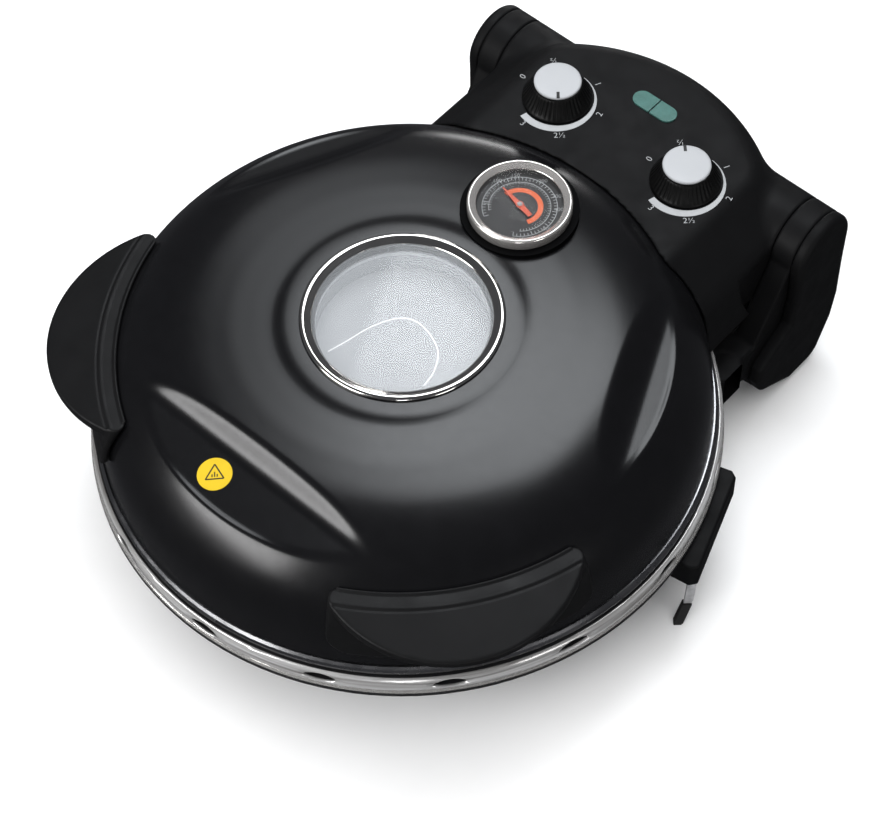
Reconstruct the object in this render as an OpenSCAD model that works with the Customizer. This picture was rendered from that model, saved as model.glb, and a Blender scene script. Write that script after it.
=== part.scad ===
// Countertop pizza oven: round stone base, domed lid with window and gauge,
// control housing over the rear hinge. Millimetres, +Z up, front of the oven towards -Y.
// The origin is on the table, at the centre of the whole oven's footprint box.

/* [Base] */
// Outer radius of the base pan's lip
lip_r = 170; // [168:0.5:172]
// Height of the top of the base lip above the table
rim_z = 66; // [64:1:68]
// Sheet thickness of the base pan
pan_t = 1.2; // [0.8:0.1:1.6]
// Height of the pan's floor above the table
pan_floor_z = 14; // [12:1:16]
// Radius of the baking stone
stone_r = 152; // [145:1:152]
// Thickness of the baking stone
stone_h = 12; // [8:1:14]
// Radius of the lower heating element's loop
lower_loop_r = 100; // [80:1:110]
// Radius of the tube of both heating elements
element_tube_r = 4; // [3:0.25:4]
// Number of vent slots around the chrome ring
vent_count = 16; // [12:1:20]
// Length of one vent slot
vent_len = 19; // [14:1:24]
// Distance of each rubber foot from the oven's axis
foot_r = 100; // [80:1:108]

/* [Lid] */
// Sheet thickness of the lid shell
lid_t = 1.2; // [0.8:0.1:1.6]
// Radius of the sight window's glass
glass_r = 48.2; // [48:0.1:48.4]
// Outer radius of the chrome window bezel
bezel_r = 52.9; // [52:0.1:56]
// Distance of the front crescent's upper edge from the oven's axis
front_crescent_d = 101.6; // [100:0.1:104]
// Distance of each side crescent's upper edge from the oven's axis
side_crescent_d = 113.7; // [112:0.1:116]
// Angle of each side crescent round from the front
side_crescent_deg = 115; // [110:1:120]
// Radius of the upper heating element's loop
upper_loop_r = 105; // [95:1:110]
// Furthest reach of a handle's grip from the oven's axis
grip_reach = 187; // [182:1:190]
// Angle of each handle round from the front
handle_deg = 52.5; // [48:0.5:56]
// Half of the angle that a handle's back plate spans
handle_half_deg = 24.25; // [22:0.25:26]

/* [Gauge] */
// Distance of the temperature gauge behind the oven's axis
gauge_y = 91.7; // [90:0.1:93]
// Outer radius of the gauge's chrome bezel
gauge_r = 27.8; // [26.8:0.1:28.5]

/* [Controls] */
// Sideways distance of each knob from the middle
knob_x = 45; // [42:1:47]
// Distance of the knobs behind the oven's axis
knob_y = 176; // [175:1:178]
// Radius of a knob's skirt at the panel
skirt_r = 19.4; // [18:0.1:20]
// Radius of a knob's white cap
cap_r = 13.1; // [12:0.1:13.4]
// Height of the flat control panel above the table
panel_z = 135.7; // [135.5:0.1:136]
// Distance of the indicator lamps behind the oven's axis
lamp_y = 205.5; // [204:0.5:207]

/* [Hinge] */
// Distance of the hinge axis behind the oven's axis
hinge_y = 207; // [207:0.5:208]
// Height of the hinge axis above the table
hinge_z = 105.5; // [105:0.5:106]
// Radius of the hinge barrels
barrel_r = 22; // [21:0.5:22]
// Radius of the steel hinge pins
pin_r = 5; // [4:0.25:6]
// Radial running clearance of pins and shafts
run_gap = 0.05; // [0.02:0.01:0.1]

/* [Hidden] */
// The oven's axis sits forward of the footprint's centre
oven_y = -38;
$fn = 96;
far = 400;
gap = 0.4;

// Stack of rings at the parting line, from the lip upwards
trim_top_z = rim_z + 2.8;
vent_top_z = rim_z + 10.5;
lid_low_z = rim_z + 11.7;
shell_low_z = rim_z + 18;

stone_top_z = rim_z;
stone_low_z = stone_top_z - stone_h;
ledge_r = stone_r - 6;
lower_loop_z = 38;
upper_loop_z = 124;
leg_x = 18;
gland_x = 24;
gland_hole_r = 6;

// Fall of a crescent's floor for each millimetre outwards
floor_slope = 0.155;

// Window and gauge levels
crown_z = 154.5;
glass_top_z = crown_z - 0.1;
glass_low_z = crown_z - 4.1;
gasket_low_z = glass_low_z - 1.2;
retainer_low_z = gasket_low_z - 2.2;
boss_top_z = 155.5;
case_top_z = 160.2;
dial_z = 156.8;
needle_z = 158;

// Hinge pieces, measured outwards from the middle
seam_x = 98;
cover_x = 112;
arm_end_x = 119.5;
pin_in_x = 80;
swing_r = 50;

// Control housing
wall_t = 2.5;
housing_low_z = 80;
back_cy = 131;
back_r = 115;
shaft_r = 3;
bush_r = 4.5;
grip_round_r = 69.3;

// Outer outline of the base pan, from the middle of its floor to the underside of its lip
pan_points = [
    [0, pan_floor_z], [122, pan_floor_z], [138, 22], [ledge_r, stone_low_z - pan_t * 2],
    [stone_r + 4, stone_low_z - pan_t * 2], [161, rim_z - 4], [163, rim_z - 2], [lip_r, rim_z - 2]
];

// Outer outline of the lid's dome, from its foot up to the crown, grown by g
function dome_points(g) = [
    [163.5 + g, shell_low_z], [162.5 + g, 92], [160.5 + g, 108 + g / 4], [157 + g, 118 + g / 3],
    [150.5 + g * 0.8, 128 + g * 0.6], [140 + g * 0.7, 138.5 + g * 0.7],
    [128 + g / 2, 145.5 + g * 0.9], [112 + g / 4, 150 + g], [92, 152 + g], [66, 153.3 + g],
    [62, crown_z + g]
];

module at_oven() {
    translate([0, oven_y, 0]) children();
}

module both_sides() {
    for (side = [-1, 1]) on_side(side) children();
}

module on_side(side) {
    mirror([side < 0 ? 1 : 0, 0, 0]) children();
}

module ring(r_out, r_in, z_low, z_top) {
    translate([0, 0, z_low]) difference() {
        cylinder(r = r_out, h = z_top - z_low);
        translate([0, 0, -1]) cylinder(r = r_in, h = z_top - z_low + 2);
    }
}

module disc(r, z_low, z_top) {
    translate([0, 0, z_low]) cylinder(r = r, h = z_top - z_low);
}

// A cylinder along X from x_in to x_out at the hinge axis
module hinge_rod(r, x_in, x_out) {
    translate([x_in, hinge_y, hinge_z]) rotate([0, 90, 0]) cylinder(r = r, h = x_out - x_in);
}

// The pan's outside, for pieces that are shaped to sit against it
module pan_body_cut() {
    rotate_extrude() polygon(concat(pan_points, [[lip_r, rim_z + 1], [0, rim_z + 1]]));
}

// Everything inside the dome's outer surface, grown by g
module dome_solid(g) {
    rotate_extrude() polygon(concat(
        [[0, shell_low_z - 8], [166 + g, shell_low_z - 8], [166 + g, shell_low_z]],
        dome_points(g), [[0, crown_z + g]]));
}

// The wedge that presses one crescent into the dome, facing +X. Its wall falls from the dome's
// surface at upper_d to a sloping floor, and g moves both faces out of the dome
module crescent_wedge(upper_d, wall_slope, g) {
    low_d = 139.7;
    low_z = 137.2;
    upper_z = 164.5 - 0.132 * upper_d;
    foot_d = (upper_z + wall_slope * upper_d - low_z - floor_slope * low_d)
        / (wall_slope - floor_slope);
    foot_z = low_z + floor_slope * (low_d - foot_d);
    over_z = 170;
    translate([0, 75, 0]) rotate([90, 0, 0]) linear_extrude(150) polygon([
        [foot_d + g - (over_z - foot_z) / wall_slope, over_z + g], [foot_d + g, foot_z + g],
        [low_d + 40, low_z - 40 * floor_slope + g], [low_d + 40, over_z + g]]);
}

// Dome with its three pressed crescents: one in front and one at each rear side
module pressed_dome(g) {
    difference() {
        dome_solid(g);
        rotate(-90) crescent_wedge(front_crescent_d, 1, g);
        both_sides() rotate(side_crescent_deg - 90) crescent_wedge(side_crescent_d, 0.7, g);
    }
}

// ---------------------------------------------------------------- base

module base_pan() {
    inner = [[163 - pan_t, rim_z], [161 - pan_t, rim_z - 3], [stone_r + 4 - pan_t, stone_low_z - pan_t],
             [ledge_r - pan_t, stone_low_z - pan_t], [138 - pan_t, 22 + pan_t],
             [122 - pan_t / 2, pan_floor_z + pan_t], [0, pan_floor_z + pan_t]];
    color("#141414") difference() {
        rotate_extrude() polygon(concat(pan_points, [[lip_r, rim_z]], inner));
        foot_places() translate([0, 0, pan_floor_z - 1]) cylinder(r = 2.1, h = 4);
        element_leg_holes(lower_loop_z, 0.3);
    }
}

module foot_places() {
    for (a = [45:90:315]) rotate(a) translate([foot_r, 0, 0]) children();
}

module trim_ring() {
    color("silver") rotate_extrude() polygon([
        [164, rim_z], [169.4, rim_z], [169.9, rim_z + 0.8], [169.6, rim_z + 2.2],
        [168.6, trim_top_z], [164, trim_top_z]]);
}

module vent_ring() {
    color("silver") difference() {
        rotate_extrude() polygon([
            [164.6, trim_top_z], [167.9, trim_top_z], [167.7, rim_z + 8], [166.8, vent_top_z - 0.6],
            [166, vent_top_z], [162.2, vent_top_z], [162.2, vent_top_z - 1.2],
            [165.4, vent_top_z - 1.2], [166.2, rim_z + 8], [166.2, trim_top_z + 1.2],
            [164.6, trim_top_z + 1.2]]);
        for (i = [0:vent_count - 1]) rotate(i * 360 / vent_count + 4.5 - 90)
            vent_slot();
    }
}

// One oval slot through the ring's wall, on the +X side
module vent_slot() {
    slot_r = 1.7;
    translate([160, 0, rim_z + 6]) rotate([0, 90, 0]) linear_extrude(12) union() {
        square([2 * slot_r, vent_len - 2 * slot_r], center = true);
        for (s = [-1, 1]) translate([0, s * (vent_len / 2 - slot_r)]) circle(r = slot_r, $fn = 32);
    }
}

module baking_stone() {
    chamfer = 1.5;
    color("#d9d3c7") rotate_extrude() polygon([
        [0, stone_low_z], [stone_r - chamfer, stone_low_z], [stone_r, stone_low_z + chamfer],
        [stone_r, stone_top_z - chamfer], [stone_r - chamfer, stone_top_z], [0, stone_top_z]]);
}

module lower_reflector() {
    t = 0.8;
    color("#b9bcc0") rotate_extrude() polygon([
        [0, 24], [112, 24], [131, 32], [131 - t, 32 + t], [112 - t, 24 + t], [0, 24 + t]]);
}

// Holes that a heating loop's two legs pass through on their way to the rear
module element_leg_holes(z, clearance) {
    for (x = [-leg_x, leg_x]) translate([x, 110, z]) rotate([-90, 0, 0])
        cylinder(r = element_tube_r + clearance, h = 60);
}

// A heating loop open at the rear, with two thinner legs running back to y_end
module heating_loop(loop_r, z, y_end) {
    open_deg = asin((leg_x - 5) / loop_r);
    leg_y = sqrt(loop_r * loop_r - leg_x * leg_x);
    translate([0, 0, z]) rotate(90 + open_deg) rotate_extrude(angle = 360 - 2 * open_deg)
        translate([loop_r, 0]) circle(r = element_tube_r, $fn = 32);
    for (x = [-leg_x, leg_x]) translate([x, leg_y, z]) rotate([-90, 0, 0])
        cylinder(r = element_tube_r - 0.6, h = y_end - leg_y, $fn = 32);
}

module lower_element() {
    color("#5a5d60") heating_loop(lower_loop_r, lower_loop_z, 162);
}

module lower_element_clips() {
    color("silver") for (a = [-150, -30, 90 - 60, 90 + 60]) rotate(a)
        translate([lower_loop_r, 0, 0]) disc(2.5, 24.8, lower_loop_z - element_tube_r);
}

module terminal_cover() {
    box_w = 64;
    box_h = 26;
    wall = 2;
    color("#1b1b1b") translate([-box_w / 2, 0, 26]) difference() {
        translate([0, 120, 0]) cube([box_w, 50, box_h]);
        translate([wall, 130, wall]) cube([box_w - 2 * wall, 38, box_h - 2 * wall]);
        translate([box_w / 2, 0, -26]) {
            pan_body_cut();
            translate([gland_x, 160, lower_loop_z]) rotate([-90, 0, 0])
                cylinder(r = gland_hole_r, h = 20);
        }
    }
}

module cable_gland() {
    color("#161616") translate([gland_x, 166, lower_loop_z]) rotate([-90, 0, 0]) difference() {
        union() {
            cylinder(r = gland_hole_r, h = 4);
            translate([0, 0, 4]) cylinder(r = 8, h = 3);
            translate([0, 0, 7]) cylinder(r1 = 6.5, r2 = 5, h = 10);
        }
        translate([0, 0, -1]) cylinder(r = 3.6, h = 20);
    }
}

module feet() {
    color("#202020") foot_places() rotate_extrude() polygon([
        [3, 4], [3, 0], [9, 0], [10, 1], [11, pan_floor_z], [2.1, pan_floor_z], [2.1, 4]]);
}

module foot_screws() {
    color("silver") foot_places() {
        disc(2, 4, pan_floor_z + 4);
        disc(2.9, 2, 4);
    }
}

// Side outline of a hinge arm in Y and Z, without its barrel: rear edge, then two front edges
arm_rear = [[228.9, 105], [228.5, 80], [229, 49], [226, 30], [216, 8], [210, 4], [190, 4], [163, 20]];
bracket_front = [[153, 36], [152, 46], [165, 70], [178, 92], [185.2, 108]];
cover_front = [[157, 34], [158, 44], [168, 52], [183, 62], [185, 80], [185.2, 108]];

module arm_slab(front, x_in, x_out) {
    union() {
        translate([x_in, 0, 0]) rotate([90, 0, 90]) linear_extrude(x_out - x_in)
            polygon(concat(arm_rear, front));
        hinge_rod(barrel_r, x_in, x_out);
    }
}

module hinge_bracket(side) {
    color("#181818") on_side(side) difference() {
        union() {
            arm_slab(bracket_front, seam_x + 0.3, cover_x);
            translate([84, 112, 36]) cube([cover_x - 84, 62, 22]);
            translate([108, 139, 36]) cylinder(r = 10, h = 22);
        }
        pan_body_cut();
        hinge_rod(pin_r, seam_x - 1, cover_x - 2);
    }
}

module bracket_cover(side) {
    color("#1c1c1c") on_side(side) arm_slab(cover_front, cover_x, arm_end_x);
}

module bracket_pads() {
    color("#202020") both_sides() translate([seam_x + 3, 192, 0]) cube([cover_x - seam_x - 4, 16, 4]);
}

module hinge_pin(side) {
    color("silver") on_side(side) hinge_rod(pin_r, pin_in_x + 0.5, cover_x - 2);
}

// Block on the pan's side that carries a support leg
module side_block(side) {
    color("#1b1b1b") on_side(side) difference() {
        translate([0, 0, 44]) linear_extrude(18)
            polygon([[150, 22], [174, 26], [177, 30], [157, 86], [153, 88], [137, 83]]);
        pan_body_cut();
        leg_place() translate([-4, -1, -10]) cube([8, 2, 20]);
    }
}

// A support leg's own frame: +X across the strip, origin where it enters the block
module leg_place() {
    translate([168.5, 34, 42]) rotate(-70) children();
}

module support_legs() {
    color("silver") both_sides() leg_place() difference() {
        translate([-4, -1, -34]) cube([8, 2, 44]);
        translate([-1.2, -2, -16]) cube([2.4, 4, 16]);
    }
}

module leg_tips() {
    color("#111111") both_sides() leg_place() difference() {
        translate([-5, -2.2, -42]) cube([10, 4.4, 20]);
        translate([-4, -1, -34]) cube([8, 2, 20]);
    }
}

// ---------------------------------------------------------------- lid

module lid_shell() {
    color("#151515") difference() {
        pressed_dome(0);
        pressed_dome(-lid_t);
        translate([0, 0, -far / 2]) cube([far, far, 2 * shell_low_z + far], center = true);
        disc(50, shell_low_z, crown_z + 2);
        translate([0, gauge_y, 100]) cylinder(r = 4.2, h = 80);
        element_leg_holes(upper_loop_z, 0.3);
    }
}

module lid_rim_ring() {
    color("#8a8d90") rotate_extrude() polygon([
        [158, lid_low_z], [164.6, lid_low_z], [165.8, lid_low_z + 1.4], [166, lid_low_z + 3.2],
        [165.4, lid_low_z + 5], [164.2, shell_low_z], [158, shell_low_z], [158, shell_low_z - 1.5],
        [162.5, shell_low_z - 1.5], [163.6, lid_low_z + 3.2], [162.8, lid_low_z + 1.5],
        [158, lid_low_z + 1.5]]);
}

module lid_liner() {
    t = 0.8;
    color("#c4c7cb") difference() {
        rotate_extrude() polygon([
            [160, shell_low_z], [158, 104], [150, 119], [134, 133], [100, 142.5], [54, 147],
            [54, 147 - t], [100, 142.5 - t], [134 - t / 2, 133 - t], [150 - t, 119 - t / 2],
            [158 - t, 104], [160 - t, shell_low_z]]);
        translate([0, gauge_y, 100]) cylinder(r = 4.6, h = 80);
        element_leg_holes(upper_loop_z, 0.3);
    }
}

module upper_element() {
    color("#5a5d60") heating_loop(upper_loop_r, upper_loop_z, 166);
}

module upper_element_clips() {
    color("silver") for (a = [-150, -30, 35, 145]) rotate(a)
        translate([upper_loop_r, 0, 0]) disc(2.5, upper_loop_z + element_tube_r, 139);
}

module window_bezel() {
    color("silver") rotate_extrude() polygon([
        [46.4, glass_top_z], [48.3, glass_top_z], [48.3, retainer_low_z], [49.8, retainer_low_z],
        [49.8, crown_z], [bezel_r, crown_z], [bezel_r, crown_z + 1], [bezel_r - 1, crown_z + 2],
        [bezel_r - 3, crown_z + 2.2], [47, crown_z + 1]]);
}

module window_glass() {
    color("#c8d2d8", 0.4) disc(glass_r, glass_low_z, glass_top_z);
}

module window_gasket() {
    color("#3a3a3a") ring(glass_r, 45, gasket_low_z, glass_low_z);
}

module window_retainer() {
    color("silver") ring(glass_r, 45, retainer_low_z, gasket_low_z);
}

module at_gauge() {
    translate([0, gauge_y, 0]) children();
}

module gauge_boss() {
    color("#101010") difference() {
        at_gauge() ring(gauge_r + 3.7, 4.2, 146, boss_top_z);
        dome_solid(0);
    }
}

module gauge_case() {
    wall = 1;
    color("silver") at_gauge() difference() {
        union() {
            disc(gauge_r - 0.8, boss_top_z, case_top_z);
            disc(4, 112, boss_top_z);
        }
        disc(gauge_r - 0.8 - wall, boss_top_z + wall, case_top_z + 1);
        disc(0.85, 148, boss_top_z + 2);
    }
}

module gauge_dial() {
    color("#0d0d0d") at_gauge() ring(gauge_r - 1.9, 0.85, boss_top_z + 1, dial_z);
}

module gauge_needle() {
    tip_deg = 168;
    thick = 0.5;
    color("#c23a22") at_gauge() union() {
        translate([0, 0, needle_z]) rotate(tip_deg) linear_extrude(thick)
            polygon([[-9, -1.2], [-9, 1.2], [0, 1.6], [14.5, 0.25], [14.5, -0.25], [0, -1.6]]);
        disc(2, needle_z, needle_z + 1);
        disc(0.8, 149, needle_z + thick);
    }
}

module gauge_glass() {
    color("#d8e2e8", 0.3) at_gauge() disc(gauge_r - 0.8, case_top_z, case_top_z + 1);
}

module gauge_bezel() {
    color("silver") at_gauge() rotate_extrude() polygon([
        [gauge_r - 0.8, boss_top_z], [gauge_r, boss_top_z], [gauge_r, case_top_z + 0.8],
        [gauge_r - 0.8, case_top_z + 1.8], [gauge_r - 2, case_top_z + 2], [gauge_r - 4.8, case_top_z + 1],
        [gauge_r - 0.8, case_top_z + 1]]);
}

module gauge_nut() {
    color("silver") at_gauge() difference() {
        translate([0, 0, 145.9]) cylinder(r = 8, h = 3.6, $fn = 6);
        disc(4, 140, 160);
    }
}

// Plate that follows the dome up to a flat ledge, with a half-round grip sloping down from the ledge
module handle(side) {
    dome_side = [[162.7, 97], [161.3, 108], [158.1, 118], [151, 128], [148, 131]];
    outer_side = [[158.5, 131], [160.5, 126], [163.2, 118], [165.2, 108], [166.2, 97]];
    grip_side = [[156, 124], [156, 131], [158.5, 130.6], [188, 125], [188, 120.3]];
    color("#161616") on_side(side) rotate(handle_deg - 90) difference() {
        union() {
            handle_sweep(concat(dome_side, outer_side));
            intersection() {
                handle_sweep(grip_side);
                translate([grip_reach - grip_round_r, 0, 100]) cylinder(r = grip_round_r, h = 50);
            }
        }
        handle_screw_places() cylinder(r = 2, h = 12, center = true);
    }
}

module handle_sweep(section) {
    rotate(-handle_half_deg) rotate_extrude(angle = 2 * handle_half_deg) polygon(section);
}

// Two screws square to the plate, below the grip, with the plate facing +X
module handle_screw_places() {
    plate_lean = atan((166.2 - 165.2) / (108 - 97));
    for (a = [-12, 12])
        rotate(a) translate([163, 0, 104]) rotate([0, 90 - plate_lean, 0]) children();
}

module handle_screws() {
    color("#2a2a2a") both_sides() rotate(handle_deg - 90) handle_screw_places() {
        translate([0, 0, 2.6]) cylinder(r = 3.6, h = 2);
        translate([0, 0, -1.4]) cylinder(r = 1.9, h = 4);
    }
}

// Round marker lying on the front crescent's floor
module marker_disc() {
    color("gold") translate([-13, -125.2, 139.5]) rotate([atan(floor_slope), 0, 0])
        cylinder(r = 9, h = 0.3);
}

// ---------------------------------------------------------------- control housing

// Front view of the housing's outside, inset by t, standing from z_low up
module housing_front(t, z_low) {
    half = [[66 - t * 0.4, panel_z - t], [73 - t * 0.6, panel_z - 2.2 - t], [86 - t * 0.6, 125 - t],
            [98.7 - t, 114 - t * 0.7], [101.8 - t, 98], [104.5 - t, 84], [105.5 - t, z_low]];
    polygon(concat(half, [for (i = [len(half) - 1:-1:0]) [-half[i][0], half[i][1]]]));
}

// Everything inside the housing's crown, skirts and curved back, inset by t
module housing_block(t, z_low) {
    intersection() {
        translate([0, 260, 0]) rotate([90, 0, 0]) linear_extrude(150) housing_front(t, z_low);
        translate([0, back_cy, 0]) rotate_extrude() polygon([
            [0, z_low], [back_r - 3 - t, z_low], [back_r - t, 108], [back_r - t, 121],
            [back_r - 4 - t, 130.5 - t / 2], [back_r - 11 - t, panel_z - t], [0, panel_z - t]]);
    }
}

module housing_cavity() {
    difference() {
        housing_block(wall_t, housing_low_z - 1);
        dome_solid(gap + 2);
        both_sides() hinge_rod(10, 76, seam_x);
        housing_posts(4);
    }
}

module housing_screw_places() {
    for (p = [[20, 180], [50, 212]], side = [-1, 1]) translate([side * p[0], p[1], 0]) children();
}

module housing_posts(r) {
    housing_screw_places() disc(r, housing_low_z + 2, panel_z - wall_t + 1);
}

module screw_pilots(r) {
    housing_screw_places() disc(r, housing_low_z - 2, housing_low_z + 18);
}

module lamp_outline(grow) {
    lamp_half = 14 - 5.5;
    lamp_half_w = 5.5;
    union() {
        square([2 * lamp_half, 2 * (lamp_half_w + grow)], center = true);
        for (s = [-1, 1]) translate([s * lamp_half, 0]) circle(r = lamp_half_w + grow, $fn = 48);
    }
}

module control_housing() {
    color("#1a1a1a") difference() {
        union() {
            housing_block(0, housing_low_z);
            both_sides() hinge_rod(barrel_r, 60, seam_x);
        }
        dome_solid(gap);
        housing_cavity();
        both_sides() {
            hinge_rod(pin_r + run_gap, pin_in_x, seam_x + 1);
            hinge_rod(swing_r, seam_x, seam_x + 20);
            translate([knob_x, knob_y, panel_z - 10]) cylinder(r = bush_r, h = 20);
        }
        translate([0, lamp_y, panel_z - 10]) linear_extrude(20) lamp_outline(0.2);
        screw_pilots(1.2);
        element_leg_holes(upper_loop_z, 0.4);
    }
}

module housing_base() {
    color("#141414") difference() {
        housing_block(wall_t + 0.2, housing_low_z);
        dome_solid(gap + 2.2);
        translate([-far / 2, 0, housing_low_z + 2]) cube(far);
        screw_pilots(1.8);
        both_sides() {
            hinge_rod(barrel_r + 0.2, 60, seam_x + 1);
            hinge_rod(swing_r + wall_t, seam_x - wall_t, seam_x + 20);
        }
    }
}

module housing_screws() {
    color("silver") housing_screw_places() {
        disc(1.2, housing_low_z, housing_low_z + 14);
        disc(3, housing_low_z - 1.8, housing_low_z);
    }
}

module rotary_switch(side) {
    body_h = 14;
    under_z = panel_z - wall_t;
    color("#26282a") translate([side * knob_x, knob_y, 0]) difference() {
        union() {
            translate([-13, -12, under_z - body_h]) cube([26, 24, body_h]);
            disc(bush_r, under_z, panel_z);
            translate([0, 0, panel_z]) cylinder(r = 7, h = 2, $fn = 6);
        }
        disc(shaft_r + run_gap, under_z - 10, panel_z + 5);
    }
}

// One half of the indicator capsule, split at the middle
module indicator_lens(side) {
    split = 0.4;
    color("#5c8a80", 0.85) translate([0, lamp_y, panel_z - 5]) linear_extrude(6) intersection() {
        lamp_outline(0);
        translate([side > 0 ? split : -20, -10]) square([20 - split, 20]);
    }
}

module lamp_holder() {
    color("#303234") translate([-17, lamp_y - 8, panel_z - 13]) cube([34, 16, 8]);
}

// Printed crescent that widens towards the hottest mark
module heat_scale(side) {
    color("white") translate([side * knob_x, knob_y, panel_z]) linear_extrude(0.2) intersection() {
        difference() {
            rotate(-75) translate([2, 0]) circle(r = 22.6);
            circle(r = 20.4);
        }
        polygon(concat([[0, 0]], [for (a = [-106:10:84]) 30 * [cos(a), sin(a)]]));
    }
}

module knob_skirt(side) {
    color("#121212") translate([side * knob_x, knob_y, 0]) difference() {
        rotate_extrude() polygon([
            [0, panel_z + 0.6], [skirt_r, panel_z + 0.6], [skirt_r, panel_z + 1.6],
            [cap_r + 0.4, panel_z + 12.5], [0, panel_z + 12.5]]);
        disc(8.4, panel_z, panel_z + 4);
        disc(shaft_r, panel_z, panel_z + 10);
    }
}

module knob_cap(side) {
    pointer_deg = side > 0 ? 134 : -49;
    color("white") translate([side * knob_x, knob_y, 0]) difference() {
        rotate_extrude() polygon([
            [0, panel_z + 12.5], [cap_r, panel_z + 12.5], [cap_r, panel_z + 14],
            [cap_r - 0.6, panel_z + 14.5], [0, panel_z + 14.5]]);
        rotate(pointer_deg) translate([cap_r - 5, -0.6, panel_z + 14.2]) cube([6, 1.2, 1]);
    }
}

module knob_shaft(side) {
    color("silver") translate([side * knob_x, knob_y, 0]) disc(shaft_r, panel_z - 11, panel_z + 10);
}

at_oven() base_pan();
at_oven() trim_ring();
at_oven() vent_ring();
at_oven() baking_stone();
at_oven() lower_reflector();
at_oven() lower_element();
at_oven() lower_element_clips();
at_oven() terminal_cover();
at_oven() cable_gland();
at_oven() feet();
at_oven() foot_screws();
at_oven() hinge_bracket(-1);  // hinge_bracket_left
at_oven() hinge_bracket(1);  // hinge_bracket_right
at_oven() bracket_cover(-1);  // bracket_cover_left
at_oven() bracket_cover(1);  // bracket_cover_right
at_oven() bracket_pads();
at_oven() hinge_pin(-1);  // hinge_pin_left
at_oven() hinge_pin(1);  // hinge_pin_right
at_oven() side_block(-1);  // side_block_left
at_oven() side_block(1);  // side_block_right
at_oven() support_legs();
at_oven() leg_tips();
at_oven() lid_shell();
at_oven() lid_rim_ring();
at_oven() lid_liner();
at_oven() upper_element();
at_oven() upper_element_clips();
at_oven() window_bezel();
at_oven() window_glass();
at_oven() window_gasket();
at_oven() window_retainer();
at_oven() gauge_boss();
at_oven() gauge_case();
at_oven() gauge_dial();
at_oven() gauge_glass();
at_oven() gauge_bezel();
at_oven() gauge_nut();
at_oven() gauge_needle();
at_oven() handle(-1);  // handle_left
at_oven() handle(1);  // handle_right
at_oven() handle_screws();
at_oven() marker_disc();
at_oven() control_housing();
at_oven() housing_base();
at_oven() housing_screws();
at_oven() rotary_switch(-1);  // switch_left
at_oven() rotary_switch(1);  // switch_right
at_oven() indicator_lens(-1);  // indicator_lens_left
at_oven() indicator_lens(1);  // indicator_lens_right
at_oven() lamp_holder();
at_oven() heat_scale(-1);  // scale_left
at_oven() heat_scale(1);  // scale_right
at_oven() knob_skirt(-1);  // knob_left_skirt
at_oven() knob_skirt(1);  // knob_right_skirt
at_oven() knob_cap(-1);  // knob_left_cap
at_oven() knob_cap(1);  // knob_right_cap
at_oven() knob_shaft(-1);  // knob_left_shaft
at_oven() knob_shaft(1);  // knob_right_shaft
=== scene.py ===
"""Countertop pizza oven: the looks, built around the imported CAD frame."""
import math

import bpy
import numpy as np
from mathutils import Euler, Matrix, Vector


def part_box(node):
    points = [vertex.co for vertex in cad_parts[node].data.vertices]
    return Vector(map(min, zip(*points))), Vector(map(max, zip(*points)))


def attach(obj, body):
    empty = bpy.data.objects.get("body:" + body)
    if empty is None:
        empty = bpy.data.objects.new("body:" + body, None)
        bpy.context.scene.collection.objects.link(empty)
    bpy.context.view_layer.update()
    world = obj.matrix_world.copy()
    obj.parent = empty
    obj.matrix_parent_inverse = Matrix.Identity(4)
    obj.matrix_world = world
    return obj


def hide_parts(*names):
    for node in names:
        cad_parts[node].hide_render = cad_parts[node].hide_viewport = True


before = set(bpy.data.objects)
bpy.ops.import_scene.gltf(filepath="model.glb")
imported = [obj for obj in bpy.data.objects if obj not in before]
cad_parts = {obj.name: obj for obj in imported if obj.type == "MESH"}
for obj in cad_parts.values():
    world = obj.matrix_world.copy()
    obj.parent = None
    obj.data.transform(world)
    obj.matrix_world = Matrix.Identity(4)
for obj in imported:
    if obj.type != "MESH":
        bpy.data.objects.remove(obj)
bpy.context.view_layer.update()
scene = bpy.context.scene

# Pieces are worked out in millimetres about the oven's own upright axis, with the front towards
# -Y, and put() turns them into metres. Only the camera and the stage are set in metres.
MM = 0.001
pan_low, pan_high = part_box("base_pan")
AXIS = Vector(((pan_low.x + pan_high.x) / 2, (pan_low.y + pan_high.y) / 2, 0))


def cad_box(node):
    """A CAD node's box in millimetres about the oven's own axis."""
    box_low, box_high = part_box(node)
    return (box_low - AXIS) / MM, (box_high - AXIS) / MM


def middle(node):
    """The centre of a CAD node's box, in the same millimetres."""
    box_low, box_high = cad_box(node)
    return (box_low + box_high) / 2


# Places that several pieces share, from the CAD nodes' boxes; KNOB is the right knob's x, y
PANEL_Z = cad_box("scale_right")[0].z
CAP_Z = cad_box("knob_right_cap")[1].z
KNOB = tuple(middle("knob_right_cap")[:2])
GAUGE_Y = middle("gauge_dial").y
DIAL_Z = cad_box("gauge_dial")[1].z
GAUGE_R = (cad_box("gauge_bezel")[1].x - cad_box("gauge_bezel")[0].x) / 2
HINGE_Y, HINGE_Z = middle("hinge_pin_right")[1:]
MARKER = middle("marker_disc")
SIDES = (("left", -1), ("right", 1))


# ---------------------------------------------------------------- camera
# It looks down on the oven from the front right.
CAMERA_PLACE = (0.5435, -0.5909, 1.2188)
CAMERA_DEGREES = (34.010, 0.904, 41.585)
LENS_MM, SENSOR_MM = 103.96, 36


def make_camera():
    data = bpy.data.cameras.new("camera")
    data.lens = LENS_MM
    data.sensor_width = SENSOR_MM
    data.clip_start, data.clip_end = 0.05, 50
    cam = bpy.data.objects.new("camera", data)
    scene.collection.objects.link(cam)
    cam.location = CAMERA_PLACE
    cam.rotation_euler = Euler([math.radians(a) for a in CAMERA_DEGREES])
    scene.camera = cam


make_camera()


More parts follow.
